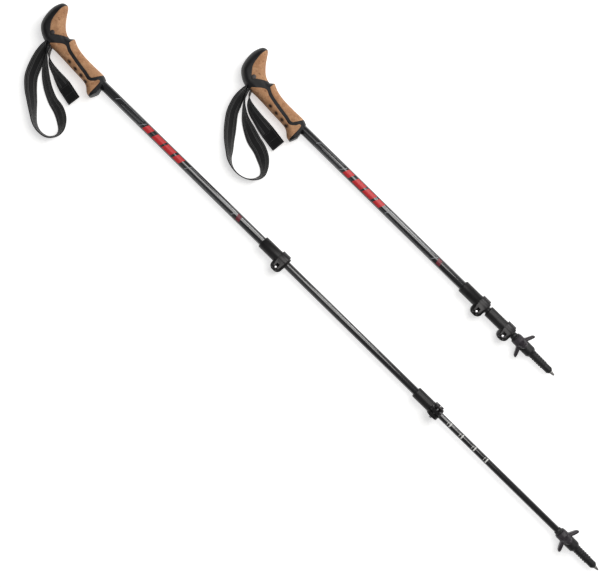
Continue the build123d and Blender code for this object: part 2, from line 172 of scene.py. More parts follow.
# ---- materials --------------------------------------------------------------------------------
class Finish:
    """A material under construction: a Principled shader and short calls for the nodes that feed it."""

    def __init__(self, name, **values):
        self.material = bpy.data.materials.new(name)
        self.material.use_nodes = True
        self.tree = self.material.node_tree
        self.shader = next(n for n in self.tree.nodes if n.type == "BSDF_PRINCIPLED")
        for socket, value in values.items():
            self.shader.inputs[socket.replace("_", " ")].default_value = value
        self.place = self.add("ShaderNodeTexCoord")

    def add(self, kind, **inputs):
        node = self.tree.nodes.new(kind)
        for socket, value in inputs.items():
            self.feed(node.inputs[socket.replace("_", " ")], value)
        return node

    def feed(self, socket, value):
        if isinstance(value, bpy.types.NodeSocket):
            self.tree.links.new(value, socket)
        else:
            socket.default_value = value

    def math(self, operation, a, b=0.0, c=0.0):
        node = self.tree.nodes.new("ShaderNodeMath")
        node.operation = operation
        for socket, value in zip(node.inputs, (a, b, c)):
            self.feed(socket, value)
        return node.outputs[0]

    def scaled(self, scale, source="Object"):
        """Object or UV coordinates multiplied by a vector."""
        node = self.add("ShaderNodeMapping", Vector=self.place.outputs[source])
        node.inputs["Scale"].default_value = scale
        return node.outputs[0]

    def noise(self, scale, detail=4.0, roughness=0.55, vector=None):
        node = self.add("ShaderNodeTexNoise", Scale=scale, Detail=detail, Roughness=roughness)
        self.feed(node.inputs["Vector"], vector or self.place.outputs["Object"])
        return node.outputs["Fac"]

    def cells(self, scale):
        """A random tone for each cell of a Voronoi pattern."""
        node = self.add("ShaderNodeTexVoronoi", Scale=scale, Vector=self.place.outputs["Object"])
        return node.outputs["Color"]

    def ramp(self, value, *stops):
        node = self.add("ShaderNodeValToRGB", Fac=value)
        elements = node.color_ramp.elements
        while len(elements) < len(stops):
            elements.new(0.5)
        for element, (position, colour) in zip(elements, stops):
            element.position = position
            grey = colour if isinstance(colour, tuple) else (colour,) * 3
            element.color = (*grey, 1)
        return node.outputs["Color"]

    def mix(self, factor, a, b):
        node = self.tree.nodes.new("ShaderNodeMix")
        node.data_type = "RGBA"
        self.feed(node.inputs[0], factor)
        for socket, value in ((node.inputs[6], a), (node.inputs[7], b)):
            self.feed(socket, (*value, 1) if isinstance(value, tuple) else value)
        return node.outputs[2]

    def bump(self, height, strength, distance=0.0002, under=None):
        node = self.add("ShaderNodeBump", Height=height, Strength=strength, Distance=distance)
        if under is not None:
            self.feed(node.inputs["Normal"], under)
        return node.outputs["Normal"]

    def wear(self, *settings):
        """Feeds the shader's sockets by name."""
        for socket, value in settings:
            self.feed(self.shader.inputs[socket], value)
        return self.material


def cork():
    """Pressed cork: two sizes of grain, soft blotches, dark pits, and shade in the finger grooves."""
    f = Finish("cork", Roughness=0.72, Specular_IOR_Level=0.3)
    warp = f.noise(90, 3)
    grain = f.math("ADD", f.math("MULTIPLY", f.cells(230), 0.55), f.math("MULTIPLY", f.cells(620), 0.45))
    tone = f.ramp(grain, (0.1, (0.23, 0.1, 0.045)), (0.45, (0.42, 0.213, 0.105)),
                  (0.75, (0.52, 0.29, 0.155)), (1.0, (0.62, 0.385, 0.22)))
    blotch = f.ramp(f.noise(28, 2), (0.3, (0.35, 0.158, 0.072)), (0.7, (0.53, 0.305, 0.165)))
    colour = f.mix(0.42, tone, blotch)
    pits = f.ramp(f.noise(520, 5, 0.7), (0.3, 0.0), (0.4, 1.0))
    lenticels = f.ramp(f.noise(140, 3, 0.6, f.scaled((0.5, 1.4, 1.0))), (0.29, 0.0), (0.36, 1.0))
    dark = f.math("MULTIPLY", pits, lenticels)
    colour = f.mix(f.math("MULTIPLY", f.math("SUBTRACT", 1.0, dark), 0.75), colour, (0.13, 0.05, 0.02))
    # painted shade: the colour goes almost black in the finger grooves, weighted by the grip mesh's groove
    # attribute
    groove_shade = f.add("ShaderNodeAttribute")
    groove_shade.attribute_name = "groove"
    colour = f.mix(f.ramp(groove_shade.outputs["Fac"], (0.15, 0.0), (0.75, 0.96)), colour, (0.016, 0.006, 0.003))
    height = f.math("ADD", f.math("MULTIPLY", dark, 0.7), f.math("MULTIPLY", warp, 0.5))
    return f.wear(("Base Color", colour), ("Normal", f.bump(height, 0.55, 0.0003)),
                  ("Roughness", f.math("ADD", 0.62, f.math("MULTIPLY", warp, 0.25))))


def moulded(name, colour, rough, grain=900.0, depth=0.25, spread=0.35):
    """Moulded plastic or rubber: a fine spark-eroded grain, with faint shade and gloss changes."""
    f = Finish(name, Specular_IOR_Level=0.24)
    shade = f.noise(60, 3)
    light = tuple(min(1, c * (1 + spread) + 0.004) for c in colour)
    base = f.mix(f.ramp(shade, (0.35, 0.0), (0.65, 1.0)), colour, light)
    fine = f.noise(grain, 6, 0.65)
    gloss = f.math("ADD", rough - 0.06, f.math("MULTIPLY", f.noise(150, 4), 0.12))
    return f.wear(("Base Color", base), ("Roughness", gloss), ("Normal", f.bump(fine, depth, 0.0001)))


def lacquer():
    f = Finish("black_lacquer", Coat_Weight=0.9, Coat_Roughness=0.06, Specular_IOR_Level=0.4)
    glint = f.ramp(f.cells(4200), (0.93, 0.0), (1.0, 1.0))
    base = f.mix(f.math("MULTIPLY", glint, 0.35), (0.008, 0.008, 0.0095), (0.09, 0.09, 0.1))
    streak = f.noise(260, 4, 0.6, f.scaled((0.12, 1.0, 1.0)))
    rough = f.math("ADD", 0.22, f.math("MULTIPLY", f.ramp(streak, (0.45, 0.0), (0.8, 1.0)), 0.2))
    return f.wear(("Base Color", base), ("Roughness", rough), ("Normal", f.bump(streak, 0.05, 0.00005)))


def metal(name, colour, rough):
    f = Finish(name, Metallic=1.0)
    brushed = f.noise(900, 4, 0.6, f.scaled((1.0, 0.08, 1.0)))
    base = f.mix(brushed, tuple(c * 0.8 for c in colour), colour)
    gloss = f.math("ADD", rough - 0.05, f.math("MULTIPLY", brushed, 0.18))
    return f.wear(("Base Color", base), ("Roughness", gloss), ("Normal", f.bump(brushed, 0.15, 0.00005)))


def printed(name, colour, rough=0.35):
    """Screen-printed ink, a little uneven."""
    f = Finish(name, Specular_IOR_Level=0.5)
    uneven = f.noise(700, 5, 0.7)
    base = f.mix(f.ramp(uneven, (0.3, 0.0), (0.6, 1.0)), tuple(c * 0.78 for c in colour), colour)
    return f.wear(("Base Color", base), ("Roughness", f.math("ADD", rough, f.math("MULTIPLY", uneven, 0.15))))


def webbing_cloth(name, body, line, line_places):
    """Woven webbing on the piece's own UV map: u runs along it and v across it, in millimetres.

    A paler line, (place, width), lies at each place to either side of the middle.
    """
    f = Finish(name, Roughness=0.82, Sheen_Weight=0.25, Sheen_Roughness=0.4, Specular_IOR_Level=0.25)
    split = f.add("ShaderNodeSeparateXYZ", Vector=f.place.outputs["UV"])
    u, v = split.outputs[0], split.outputs[1]
    slant = f.math("PINGPONG", v, 1.1)
    ribs = f.math("SINE", f.math("MULTIPLY", f.math("ADD", u, slant), 2 * math.pi / 0.95))
    warp = f.math("SINE", f.math("MULTIPLY", v, 2 * math.pi / 0.62))
    weave = f.math("ADD", f.math("MULTIPLY", ribs, 0.5), f.math("MULTIPLY", warp, 0.35))
    fuzz = f.noise(9.0, 5, 0.7, f.place.outputs["UV"])
    lit = None
    for place, width in line_places:
        near = f.math("ABSOLUTE", f.math("SUBTRACT", f.math("ABSOLUTE", v), place))
        here = f.math("LESS_THAN", near, width / 2)
        lit = here if lit is None else f.math("MAXIMUM", lit, here)
    base = f.mix(f.math("MULTIPLY", fuzz, 0.9), tuple(c * 0.6 for c in body), tuple(c * 1.6 for c in body))
    base = f.mix(f.math("MULTIPLY", lit, 0.85), base, line)
    dark = f.ramp(f.math("ADD", 0.5, f.math("MULTIPLY", weave, 0.5)), (0.0, 0.55), (0.6, 1.0))
    shade = f.tree.nodes.new("ShaderNodeMix")
    shade.data_type, shade.blend_type = "RGBA", "MULTIPLY"
    f.feed(shade.inputs[0], 0.8)
    f.feed(shade.inputs[6], base)
    f.feed(shade.inputs[7], dark)
    height = f.math("ADD", weave, f.math("MULTIPLY", fuzz, 0.5))
    return f.wear(("Base Color", shade.outputs[2]), ("Normal", f.bump(height, 0.5, 0.00025)))


MATERIALS = {}


def materials():
    """Every finish, made once."""
    if not MATERIALS:
        look = bpy.context.scene.trekking_look
        MATERIALS.update(
            cork=cork(),
            rubber=moulded("grip_rubber", tuple(look.rubber_colour), 0.5, 1400, 0.3),
            clamp=moulded("clamp_nylon", tuple(look.clamp_colour), 0.38, 1500, 0.2),
            lever=moulded("lever_nylon", tuple(look.lever_colour), 0.32, 1500, 0.15),
            tip=moulded("tip_plastic", (0.014, 0.014, 0.015), 0.42, 1300, 0.2),
            basket=moulded("basket_plastic", (0.03, 0.026, 0.031), 0.36, 900, 0.15),
            plug=moulded("plug_nylon", (0.45, 0.45, 0.44), 0.45),
            lacquer=lacquer(),
            steel=metal("bright_steel", (0.72, 0.72, 0.74), 0.26),
            # dark steel for the strap pins and barrel nuts; on the barrel nuts it is painted shade for the gap
            # between the fork's arms
            dark_steel=metal("blackened_steel", (0.06, 0.055, 0.055), 0.4),
            carbide=metal("carbide", (0.4, 0.39, 0.38), 0.38),
            red=printed("red_ink", tuple(look.red_ink)),
            maroon=printed("maroon_ink", (0.16, 0.012, 0.025)),
            silver=printed("silver_ink", (0.3, 0.31, 0.33), 0.3),
            white=printed("white_ink", (0.74, 0.74, 0.72), 0.4),
            thread=printed("sewing_thread", (0.06, 0.06, 0.065), 0.6),
            web=webbing_cloth("webbing", (0.014, 0.014, 0.015), (0.13, 0.13, 0.13),
                              ((4.6, 0.7), (6.6, 0.5), (9.6, 0.8))),
            tab=webbing_cloth("webbing_end", (0.006, 0.006, 0.0065), (0.016, 0.016, 0.016), ((8.5, 0.8),)),
        )
    return MATERIALS


# ---- hard parts from the CAD meshes --------------------------------------------------------------
def merged(cad):
    """A CAD node's mesh in the row's frame, with its doubled points merged and its flat faces joined."""
    work = bmesh.new()
    work.from_mesh(cad.data)
    work.transform(cad.matrix_world)
    bmesh.ops.remove_doubles(work, verts=work.verts, dist=1e-6)
    bmesh.ops.dissolve_limit(work, angle_limit=math.radians(0.6), verts=work.verts, edges=work.edges)
    return work


def softened(side, node, body, material, edge=0.35):
    """A copy of a CAD node with rounded edges, which takes its place.

    Its edges are as round as asked, or as round as they can be while the copy stays closed.
    """
    for share in (1.0, 0.7, 0.4, 0.0):
        work = merged(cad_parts[f"{side}_{node}"])
        if share:
            corners = [e for e in work.edges if e.is_manifold and e.calc_face_angle() > math.radians(28)]
            bmesh.ops.bevel(work, geom=corners, offset=edge * share * MM, offset_type="OFFSET", segments=3,
                            profile=0.5, affect="EDGES", clamp_overlap=True)
            bmesh.ops.remove_doubles(work, verts=work.verts, dist=1e-6)
        if all(e.is_manifold for e in work.edges):
            break
        work.free()
    else:
        raise ValueError(f"{side}_{node} isn't closed")
    soft = bpy.data.meshes.new(node)
    work.to_mesh(soft)
    work.free()
    soft.materials.append(material)
    return finish_piece(node, side, soft, body, (node,), 50.0)


# ---- the grip ---------------------------------------------------------------------------------
# The outline seen from the side, as in the CAD: the front from the horn's point down to the base, and back.
GRIP_FRONT = [(16, 44.5), (24.7, 31.9), (33.4, 21.8), (42, 15.8), (49.3, 14.2)]
GRIP_HANDLE_FRONT = [(55, 18.9), (65, 14.3), (80, 11.2), (100, 10.4), (121, 10.6), (129, 8)]
GRIP_BASE = [(133.4, -14.5), (129, -26.5)]
GRIP_BACK = [(121.8, -24.7), (114.6, -18.9), (105.9, -16), (80, -14.6), (50.8, -13.2), (32, -13.5)]
GRIP_CAP = [(21.8, -12), (11.6, -6.3), (4, 2), (0.4, 15), (0.4, 30), (5, 42.5), (11, 46.2)]
# Half of the grip's thickness along its length.
GRIP_HALF = [(0, 14), (6, 18.4), (20, 19), (45, 15.5), (75, 15.5), (100, 14.4), (122, 15.6), (134, 15)]
STRIPE = [(55, 5), (65, 1.5), (87, -2.9), (101.5, -5.1), (111.7, -7), (117.5, -2.9), (123.5, 9)]
STRIPE_HALF = 2.5
ROUND_OVER = 9.5  # how far in from the outline the sides are rounded
END_ROUND = 0.8
SEAM_ROW = 0.8  # the rows of points on both sides of a seam
GROOVE_LENGTH, GROOVE_WIDTH, GROOVE_DEPTH = 3.8, 2.4, 1.3
FINGER_GROOVES = [(74, -9.6), (87, -11.0), (99.5, -12), (110, -14.2)]


def offset_line(points, away):
    """The same line moved sideways, to its left as it runs."""
    moved = []
    for i, (x, y) in enumerate(points):
        x0, y0 = points[max(i - 1, 0)]
        x1, y1 = points[min(i + 1, len(points) - 1)]
        run = math.hypot(x1 - x0, y1 - y0)
        moved.append((x - away * (y1 - y0) / run, y + away * (x1 - x0) / run))
    return moved


def inside(points, polygon):
    """Which of the points lie inside a closed polygon."""
    x, y = points[:, 0], points[:, 1]
    found = np.zeros(len(points), bool)
    for (x0, y0), (x1, y1) in zip(polygon, np.roll(polygon, -1, axis=0)):
        crosses = (y0 > y) != (y1 > y)
        with np.errstate(divide="ignore", invalid="ignore"):
            found ^= crosses & (x < (x1 - x0) * (y - y0) / (y1 - y0) + x0)
    return found


def distance_to(points, line):
    """How far each point is from an open line of points."""
    best = np.full(len(points), 1e9)
    for a, b in zip(line[:-1], line[1:]):
        run = b - a
        t = np.clip(((points - a) @ run) / max(run @ run, 1e-12), 0, 1)
        best = np.minimum(best, np.linalg.norm(points - a - t[:, None] * run, axis=1))
    return best


def fine_line(points, step=1.1):
    """A line with extra points about every step, keeping its own."""
    out = [np.array(points[0], float)]
    for a, b in zip(points[:-1], points[1:]):
        a, b = np.array(a, float), np.array(b, float)
        n = max(1, int(round(np.linalg.norm(b - a) / step)))
        out += [a + (b - a) * k / n for k in range(1, n + 1)]
    return np.array(out)


class GripShape:
    """The grip's outline, its zones seen from the side and its height over the middle plane."""

    def __init__(self):
        curved = smooth_line(GRIP_BASE[1:] + GRIP_BACK + GRIP_CAP + GRIP_FRONT, 1.1)
        lip = fine_line([GRIP_FRONT[-1], GRIP_HANDLE_FRONT[0]])[1:-1]
        handle = smooth_line(GRIP_HANDLE_FRONT, 1.1)
        base = fine_line([GRIP_HANDLE_FRONT[-1]] + GRIP_BASE)[1:-1]
        self.outline = np.vstack([curved, lip, handle, base])
        self.end = np.vstack([handle[-1:], base, curved[:1]])
        self.rounded = np.vstack([curved, lip, handle])
        self.x0, self.y0, self.step = -8.0, -36.0, 0.5
        gx, gy = np.arange(self.x0, 142, self.step), np.arange(self.y0, 56, self.step)
        grid = np.array(np.meshgrid(gx, gy, indexing="ij")).reshape(2, -1).T
        far = distance_to(grid, self.rounded)
        within = np.vstack([self.rounded, [[200, 8], [200, -26.5]]])
        depth = np.where(inside(grid, within), far, -far).reshape(len(gx), len(gy))
        kernel = np.exp(-0.5 * (np.arange(-8, 9) / 3.0) ** 2)
        kernel /= kernel.sum()
        for axis in (0, 1):
            depth = np.apply_along_axis(
                lambda row: np.convolve(np.pad(row, 8, "edge"), kernel, "valid"), axis, depth)
        self.depth = depth

    def height(self, points):
        """Half the thickness at each point, rounded over towards the outline."""
        i = (points[:, 0] - self.x0) / self.step
        j = (points[:, 1] - self.y0) / self.step
        i0, j0 = i.astype(int), j.astype(int)
        fi, fj = i - i0, j - j0
        d = self.depth
        depth = (d[i0, j0] * (1 - fi) * (1 - fj) + d[i0 + 1, j0] * fi * (1 - fj)
                 + d[i0, j0 + 1] * (1 - fi) * fj + d[i0 + 1, j0 + 1] * fi * fj)
        near = np.clip(distance_to(points, self.rounded), 0, None)
        depth = np.where(depth < 1.5, near + (depth - near) * np.clip(near / 1.5, 0, 1), depth)
        t = np.clip(depth / ROUND_OVER, 0, 1)
        xs, hs = zip(*GRIP_HALF)
        full = sum(np.interp(points[:, 0] + shift, xs, hs) for shift in (-6, -3, 0, 3, 6)) / 5
        end = np.clip(distance_to(points, self.end) / END_ROUND, 0, 1)
        eased = np.minimum(END_ROUND * (1 - np.sqrt(1 - (1 - end) ** 2)), full * 0.5)
        return full * np.sqrt(np.clip(1 - (1 - t) ** 2, 0, 1)) - eased


def grip_zones():
    """Each zone's boundary inside the outline, as lines, and a test for the zone's points."""
    reach = 60.0
    cap_edge = smooth_line([(15, 52), (13, 40), (13, 28), (15.5, 15), (21.5, 6), (27, 0.5)], 1)
    neck_top = fine_line([(27, 0.5), (49.5, 16), (49.5, 20)])
    above = smooth_line([(55.2, 9.5)] + offset_line(STRIPE, STRIPE_HALF)[1:-1] + [(121.5, 9), (121.5, 14)], 1)
    below = smooth_line([(35.5, -9.5), (52, 3.0)] + offset_line(STRIPE, -STRIPE_HALF)[1:-1]
                        + [(123, 1.0), (126.7, -3), (126.7, -34)], 1)
    plate = fine_line([(126.7, -34), (126.7, -9), (136, -9)])
    cap_low = fine_line([(27, 0.5), (30.5, -7), (26, -34)])
    zones = {
        "grip_head_cork": np.vstack([cap_edge, neck_top[1:], [[49.5, reach], [15, reach]]]),
        "grip_front_cork": np.vstack([[[55.2, reach]], above, [[121.5, reach]]]),
        "grip_finger_cork": np.vstack([below, [[35.5, -34]]]),
        "grip_base_plate": np.vstack([plate, [[136, -34]]]),
        "grip_cap": np.vstack([[[-5, reach]], [[15, reach]], cap_edge, cap_low[1:], [[-5, -34]]]),
    }
    seams = [cap_edge, neck_top, above, below, plate, cap_low, fine_line([(55.2, 9.5), (55.2, 20)]),
             fine_line([(35.5, -9.5), (35.5, -20)])]
    return zones, seams


def spread_points(shape):
    """Points inside the outline: rows at set depths, so that the round-over is smooth, then a grid."""
    rows = []
    line = shape.rounded
    along = np.gradient(line, axis=0)
    along /= np.linalg.norm(along, axis=1)[:, None]
    normal = np.stack([along[:, 1], -along[:, 0]], axis=1)
    if not inside(line[20:21] + normal[20:21] * 2, shape.outline)[0]:
        normal = -normal
    for depth in (0.12, 0.45, 1.0, 1.8, 2.8, 4.0, 5.4, 7.0, 8.7):
        row = line + normal * depth
        keep = inside(row, shape.outline) & (distance_to(row, line) > depth * 0.97)
        rows.append(row[keep])
    for depth in (0.1, 0.25, 0.5, 0.8):
        row = shape.end - np.array([depth, 0])
        rows.append(row[inside(row, shape.outline) & (distance_to(row, line) > 1.0)])
    gx, gy = np.meshgrid(np.arange(-2, 136, 1.7), np.arange(-30, 50, 1.7), indexing="ij")
    grid = np.array([gx.ravel(), gy.ravel()]).T
    grid = grid[inside(grid, shape.outline)]
    rows.append(grid[distance_to(grid, line) > 9.6])
    edge = grid[(distance_to(grid, line) <= 9.6) & (grid[:, 0] > 126.5)]
    rows.append(edge[distance_to(edge, line) > 1.2])
    return np.vstack(rows)


def build_grip_meshes():
    """Every zone's closed mesh, once for both poles: name -> (points, faces, groove depths)."""
    shape = GripShape()
    zones, seams = grip_zones()
    points, edges = [tuple(p) for p in shape.outline], []
    count = len(points)
    edges += [(i, (i + 1) % count) for i in range(count)]
    for seam in seams:
        first = len(points)
        points += [tuple(p) for p in seam]
        edges += [(first + i, first + i + 1) for i in range(len(seam) - 1)]
    seam_points = np.vstack(seams)
    loose = spread_points(shape)
    clear = np.min(np.linalg.norm(loose[:, None, :] - seam_points[None, :, :], axis=2), axis=1)
    points += [tuple(p) for p in loose[clear > 0.7]]
    for seam in seams:
        for away in (-SEAM_ROW, SEAM_ROW):
            row = np.array(offset_line([tuple(p) for p in seam], away))
            row = row[inside(row, shape.outline)]
            near = np.min(np.linalg.norm(row[:, None, :] - seam_points[None, :, :], axis=2), axis=1)
            points += [tuple(p) for p in row[near > SEAM_ROW * 0.8]]
    verts, _, tris, _, _, _ = delaunay_2d_cdt([Vector(p) for p in points], edges, [], 0, 1e-4, True)
    flat = np.array([tuple(v) for v in verts])
    tris = np.array([t for t in tris if len(t) == 3])
    centres = flat[tris].mean(axis=1)
    tris = tris[inside(centres, shape.outline)]
    centres = flat[tris].mean(axis=1)
    on_rim = distance_to(flat, shape.rounded) < 0.02
    height = shape.height(flat)
    height = np.where(on_rim, 0, np.maximum(height, 0.05))
    seam_away = np.min([distance_to(flat, seam) for seam in seams], axis=0)
    ease = np.clip(1 - seam_away / 0.85, 0, 1) ** 2
    groove = np.zeros(len(flat))
    for x, y in FINGER_GROOVES:
        reach = ((flat[:, 0] - x) / GROOVE_LENGTH) ** 2 + ((flat[:, 1] - y) / GROOVE_WIDTH) ** 2
        groove = np.maximum(groove, np.exp(-reach * 1.2))
    taken = np.zeros(len(tris), bool)
    made = {}
    for name in (*zones, "grip_core"):
        mine = ~taken if name == "grip_core" else inside(centres, zones[name]) & ~taken
        taken |= mine
        mine_tris = tris[mine]
        z = height.copy()
        if name == "grip_core":
            z = np.where(on_rim, 0, np.maximum(z - 0.4, z * 0.5))
        elif name == "grip_cap":
            z = np.where(on_rim, 0, z - 0.18 * ease * np.minimum(z, 1))
        else:
            sunk = 0.45 * ease + GROOVE_DEPTH * groove * (name == "grip_finger_cork")
            z = np.where(on_rim, 0, np.maximum(z - sunk, z * 0.5))
        made[name] = (*closed_slab(flat, z, mine_tris), groove)
    return made


def closed_slab(flat, z, tris):
    """Closed points and faces between a height field over some triangles and its mirror image."""
    used = np.unique(tris)
    top = {int(v): k for k, v in enumerate(used)}
    points = [(flat[v][0], flat[v][1], z[v]) for v in used]
    low = {}
    for v in used:
        v = int(v)
        if z[v] > 1e-6:
            low[v] = len(points)
            points.append((flat[v][0], flat[v][1], -z[v]))
        else:
            low[v] = top[v]
    faces, rim = [], {}
    for t in tris:
        a, b, c = (int(v) for v in t)
        if np.cross(flat[b] - flat[a], flat[c] - flat[a]) < 0:
            b, c = c, b
        faces.append((top[a], top[b], top[c]))
        faces.append((low[a], low[c], low[b]))
        for edge in ((a, b), (b, c), (c, a)):
            if edge[::-1] in rim:
                del rim[edge[::-1]]
            else:
                rim[edge] = True
    for a, b in rim:
        ring = (top[b], top[a], low[a], low[b])
        ring = tuple(v for i, v in enumerate(ring) if v != ring[i - 1])
        if len(set(ring)) > 2:
            faces.append(ring)
    return points, faces, used


def make_grip(side, shapes):
    finishes = materials()
    for name, (points, faces, used, groove) in shapes.items():
        slot, material = ("cork", finishes["cork"]) if "cork" in name else ("rubber_black", finishes["rubber"])
        piece = put(name, side, points, faces, "grip", slot, material, (name,), sharp=38)
        if name == "grip_finger_cork":
            # the finger grooves' weights, which the cork shader turns into painted shade
            depths = piece.data.attributes.new("groove", "FLOAT", "POINT")
            values = [float(groove[v]) for v in used]
            values += [0.0] * (len(piece.data.vertices) - len(values))
            depths.data.foreach_set("value", values)
    softened(side, "strap_pin", "grip", finishes["dark_steel"], 0.2)


# ---- the strap --------------------------------------------------------------------------------
WEB_WIDTH = 22.0
WEB_THICKNESS = 1.6
TAB_THICKNESS = 3.4
TAB_LENGTH = 26.0
SEAM_INSET = 2.6  # the seams on the tab, from its edges
PIN = (28.0, 3.5)
EYE_R = 3.35  # the middle of the webbing round the pin
# Routes: x, y, the webbing's tilt from flat in degrees, and its lift, which is 1 at the height of the
# pole's axis and 0 where the lower edge lies on the floor.
LOOPS = {
    "left": [
        (32.5, -8, 90, 1), (36, -18, 86, 1), (46.5, -34, 66, 0.7), (58, -46.5, 54, 0.4), (74, -58.5, 50, 0.15),
        (91.4, -67, 46, 0), (107.3, -71, 38, 0), (120.4, -78, 42, 0), (130.5, -88.9, 60, 0),
        (131.5, -100.5, 76, 0), (123.3, -110.3, 82, 0), (110.2, -113, 84, 0), (97.2, -109.5, 80, 0),
        (84.1, -99.8, 70, 0), (71.1, -88.9, 56, 0), (56.6, -77, 44, 0), (45, -64, 38, 0.05),
        (38.6, -49, 38, 0.25), (34.4, -34, 46, 0.6), (31, -20, 66, 0.9), (28.3, -10, 88, 1),
    ],
    "right": [
        (32.5, -8, 90, 1), (35, -18, 90, 1), (40, -29, 84, 0.8), (48, -38, 76, 0.5), (60, -47.5, 60, 0.2),
        (76.6, -55.4, 36, 0), (89.6, -60.5, 24, 0), (104.1, -64, 26, 0), (117.2, -70, 34, 0),
        (128.8, -79, 56, 0), (134.3, -89, 70, 0), (130.9, -99.6, 80, 0), (121.5, -107.8, 86, 0),
        (108.5, -111.7, 88, 0), (95, -110.5, 86, 0), (83.1, -104.7, 76, 0), (73.7, -95.3, 62, 0),
        (64.2, -85.8, 50, 0), (55.5, -75.7, 40, 0), (46.8, -64.8, 38, 0.05), (38.9, -53.2, 42, 0.2),
        (34.2, -40.5, 46, 0.5), (31.5, -30, 56, 0.75), (29.6, -19, 74, 0.95), (28.2, -9.5, 89, 1),
    ],
}
TAILS = {
    "left": [
        (37, -11, 90, 1), (41.5, -21, 90, 1), (53, -30.5, 72, 0.9), (68.2, -35.2, 58, 0.75),
        (80, -38, 40, 0.6), (90, -40.2, 24, 0.45),
    ],
    "right": [
        (37, -11, 90, 1), (41, -20, 90, 1), (49, -27.5, 70, 0.9), (60, -32, 54, 0.75),
        (75, -35, 42, 0.6), (86, -36.8, 28, 0.5), (96, -38.2, 16, 0.4),
    ],
}


def web_frames(route, side, thickness, looped=False):
    """Along a route: the middle, the way across and the way through the webbing at each step."""
    line = smooth_line(route, 1.6)
    height = ORIGIN[side].z / MM
    frames, along = [], 0.0
    for i, (x, y, tilt, lift) in enumerate(line):
        if looped:
            (x0, y0), (x1, y1) = line[i - 1][:2], line[(i + 1) % len(line)][:2]
        else:
            (x0, y0), (x1, y1) = line[max(i - 1, 0)][:2], line[min(i + 1, len(line) - 1)][:2]
        run = math.hypot(x1 - x0, y1 - y0)
        ahead = Vector(((x1 - x0) / run, (y1 - y0) / run, 0))
        out = Vector((-ahead.y, ahead.x, 0))
        lean = math.radians(tilt)
        across = out * math.cos(lean) + Vector((0, 0, 1)) * math.sin(lean)
        through = ahead.cross(across)
        lying = WEB_WIDTH / 2 * math.sin(lean) + thickness / 2 * math.cos(lean) + 0.15 - height
        if i:
            along += math.hypot(x - line[i - 1][0], y - line[i - 1][1])
        frames.append((Vector((x, y, lying * (1 - max(0.0, min(1.0, lift))))), across, through, along))
    return frames


def web_section(width, thickness):
    """The webbing's outline across it: (across, through) from one soft edge round to the other."""
    half, soft = width / 2, thickness / 2
    side = [(-half + soft * (1 - math.cos(a)), soft * math.sin(a)) for a in np.linspace(0, math.pi / 2, 4)]
    inner = half - soft - 0.4
    flat = [(v, soft * (1 - 0.05 * math.cos(v * 2.2))) for v in np.linspace(-inner, inner, 15)]
    upper = side + flat + [(-v, t) for v, t in reversed(side)]
    return upper + [(v, -t) for v, t in reversed(upper[1:-1])]


def make_web(name, side, route, thickness, slot, material, looped=False):
    """Lays webbing along a route, and returns its frames."""
    section = web_section(WEB_WIDTH, thickness)
    frames = web_frames(route, side, thickness, looped)
    points, faces, uv = [], [], []
    for middle, across, through, along in frames:
        for v, t in section:
            points.append(tuple(middle + across * v + through * t))
            uv.append((along, v))
    n, rows = len(section), len(frames)
    for i in range(rows if looped else rows - 1):
        here, there = i * n, (i + 1) % rows * n
        for j in range(n):
            k = (j + 1) % n
            faces.append((here + j, there + j, there + k, here + k))
    if not looped:
        faces.append(tuple(range(n)))
        faces.append(tuple(reversed(range((rows - 1) * n, rows * n))))
    put(name, side, points, faces, "strap", slot, material, (name,), uv, 60)
    return frames


